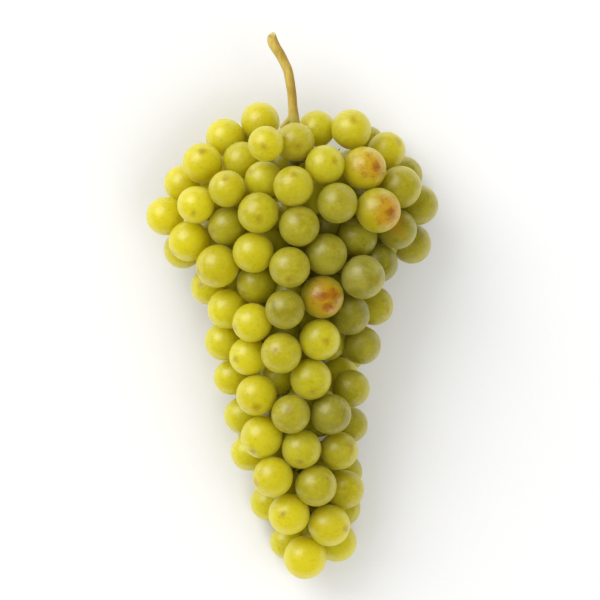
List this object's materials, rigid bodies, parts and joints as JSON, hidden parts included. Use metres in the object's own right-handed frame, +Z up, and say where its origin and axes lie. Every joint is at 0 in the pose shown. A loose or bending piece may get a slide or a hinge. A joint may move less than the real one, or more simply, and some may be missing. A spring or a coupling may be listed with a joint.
{
  "type": "bunch of grapes",
  "caption": "Conical bunch of ripe white table grapes on a branched woody stalk, lying on its side; fresh fruit for a bowl, plate or basket.",
  "frame": {"origin": "on the resting plane, under the middle of the bunch's bounding box", "axes": "+Y along the bunch from its tip to the cut end of the stalk, +Z up from the resting plane to the side that shows, +X to the right seen from above with the cut end away from the viewer"},
  "size_m": [0.1216, 0.2279, 0.0651],
  "materials": {
    "berry_yellow": "waxy satin skin, translucent lemon yellow",
    "berry_green": "waxy satin skin, translucent yellow-green",
    "berry_olive": "waxy satin skin, translucent olive green",
    "berry_amber": "waxy satin skin, amber with sun-browned patches",
    "stalk": "matt straw-coloured woody stalk"
  },
  "bodies": {
    "root": {"berries_lower_centre_under_1": "berry_green", "berries_lower_right_side_1": "berry_olive", "berries_lower_right_under_1": "berry_green", "berries_middle_centre_core_1": "berry_green", "berries_middle_centre_core_2": "berry_green", "berries_middle_centre_under_1": "berry_green", "berries_middle_left_under_1": "berry_yellow", "berries_middle_right_side_1": "berry_olive", "berries_middle_right_side_2": "berry_olive", "berries_middle_right_under_1": "berry_green", "berries_upper_centre_core_1": "berry_green", "berries_upper_centre_core_2": "berry_green", "berries_upper_left_side_1": "berry_yellow", "berries_upper_left_side_2": "berry_yellow", "berries_upper_left_under_1": "berry_yellow", "berries_upper_right_under_1": "berry_olive", "berry_left_shoulder_11": "berry_yellow", "berry_left_shoulder_3": "berry_yellow", "berry_left_shoulder_4": "berry_yellow", "berry_left_shoulder_7": "berry_yellow", "berry_left_shoulder_8": "berry_yellow", "berry_left_side_1": "berry_yellow", "berry_left_side_2": "berry_yellow", "berry_left_side_5": "berry_yellow", "berry_left_side_6": "berry_yellow", "berry_left_side_8": "berry_yellow", "berry_lower_left_1": "berry_yellow", "berry_lower_left_3": "berry_yellow", "berry_lower_left_5": "berry_yellow", "berry_lower_middle_1": "berry_green", "berry_lower_middle_2": "berry_green", "berry_lower_middle_3": "berry_green", "berry_lower_middle_4": "berry_yellow", "berry_lower_right_1": "berry_olive", "berry_lower_right_3": "berry_olive", "berry_lower_right_5": "berry_olive", "berry_lower_right_7": "berry_olive", "berry_middle_1": "berry_green", "berry_middle_2": "berry_green", "berry_middle_3": "berry_amber", "berry_middle_4": "berry_green", "berry_middle_5": "berry_green", "berry_middle_6": "berry_green", "berry_middle_8": "berry_green", "berry_right_shoulder_1": "berry_green", "berry_right_shoulder_11": "berry_olive", "berry_right_shoulder_3": "berry_green", "berry_right_shoulder_4": "berry_amber", "berry_right_shoulder_5": "berry_green", "berry_right_shoulder_6": "berry_olive", "berry_right_shoulder_8": "berry_amber", "berry_right_side_1": "berry_green", "berry_right_side_4": "berry_olive", "berry_tip_3": "berry_yellow", "berry_top_1": "berry_olive", "berry_top_3": "berry_green", "berry_top_4": "berry_green", "berry_top_5": "berry_green", "berry_top_6": "berry_green", "stalk": "stalk"}
  },
  "joints": []
}
